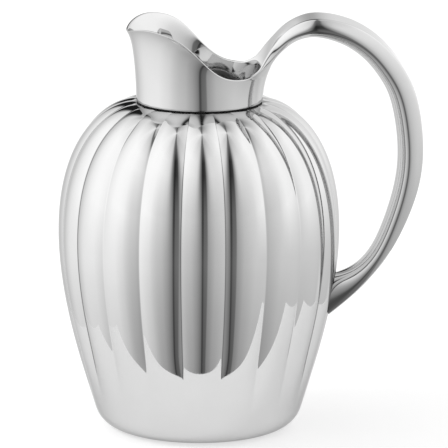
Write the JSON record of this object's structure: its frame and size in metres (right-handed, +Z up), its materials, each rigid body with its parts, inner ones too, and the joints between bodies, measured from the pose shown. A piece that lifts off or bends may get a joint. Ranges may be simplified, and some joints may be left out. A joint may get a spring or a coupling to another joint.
{
  "type": "water pitcher",
  "caption": "Open-topped water pitcher in polished silver-coloured metal, with a lobed melon body, a smooth neck with a swept spout and a large looped handle.",
  "frame": {"origin": "centre of the base, on the face that rests on the table", "axes": "+Z up, spout towards -X, handle towards +X"},
  "size_m": [0.2151, 0.1664, 0.2466],
  "materials": {
    "polished_metal": "mirror polished",
    "plain_metal": "fine satin"
  },
  "bodies": {
    "root": {"body_shell": "polished_metal", "base_pan": "plain_metal", "neck_collar": "polished_metal", "neck_joint_ring": "plain_metal", "handle_outer_strap": "polished_metal", "handle_inner_channel": "polished_metal", "handle_foot_plate": "polished_metal"}
  },
  "joints": []
}
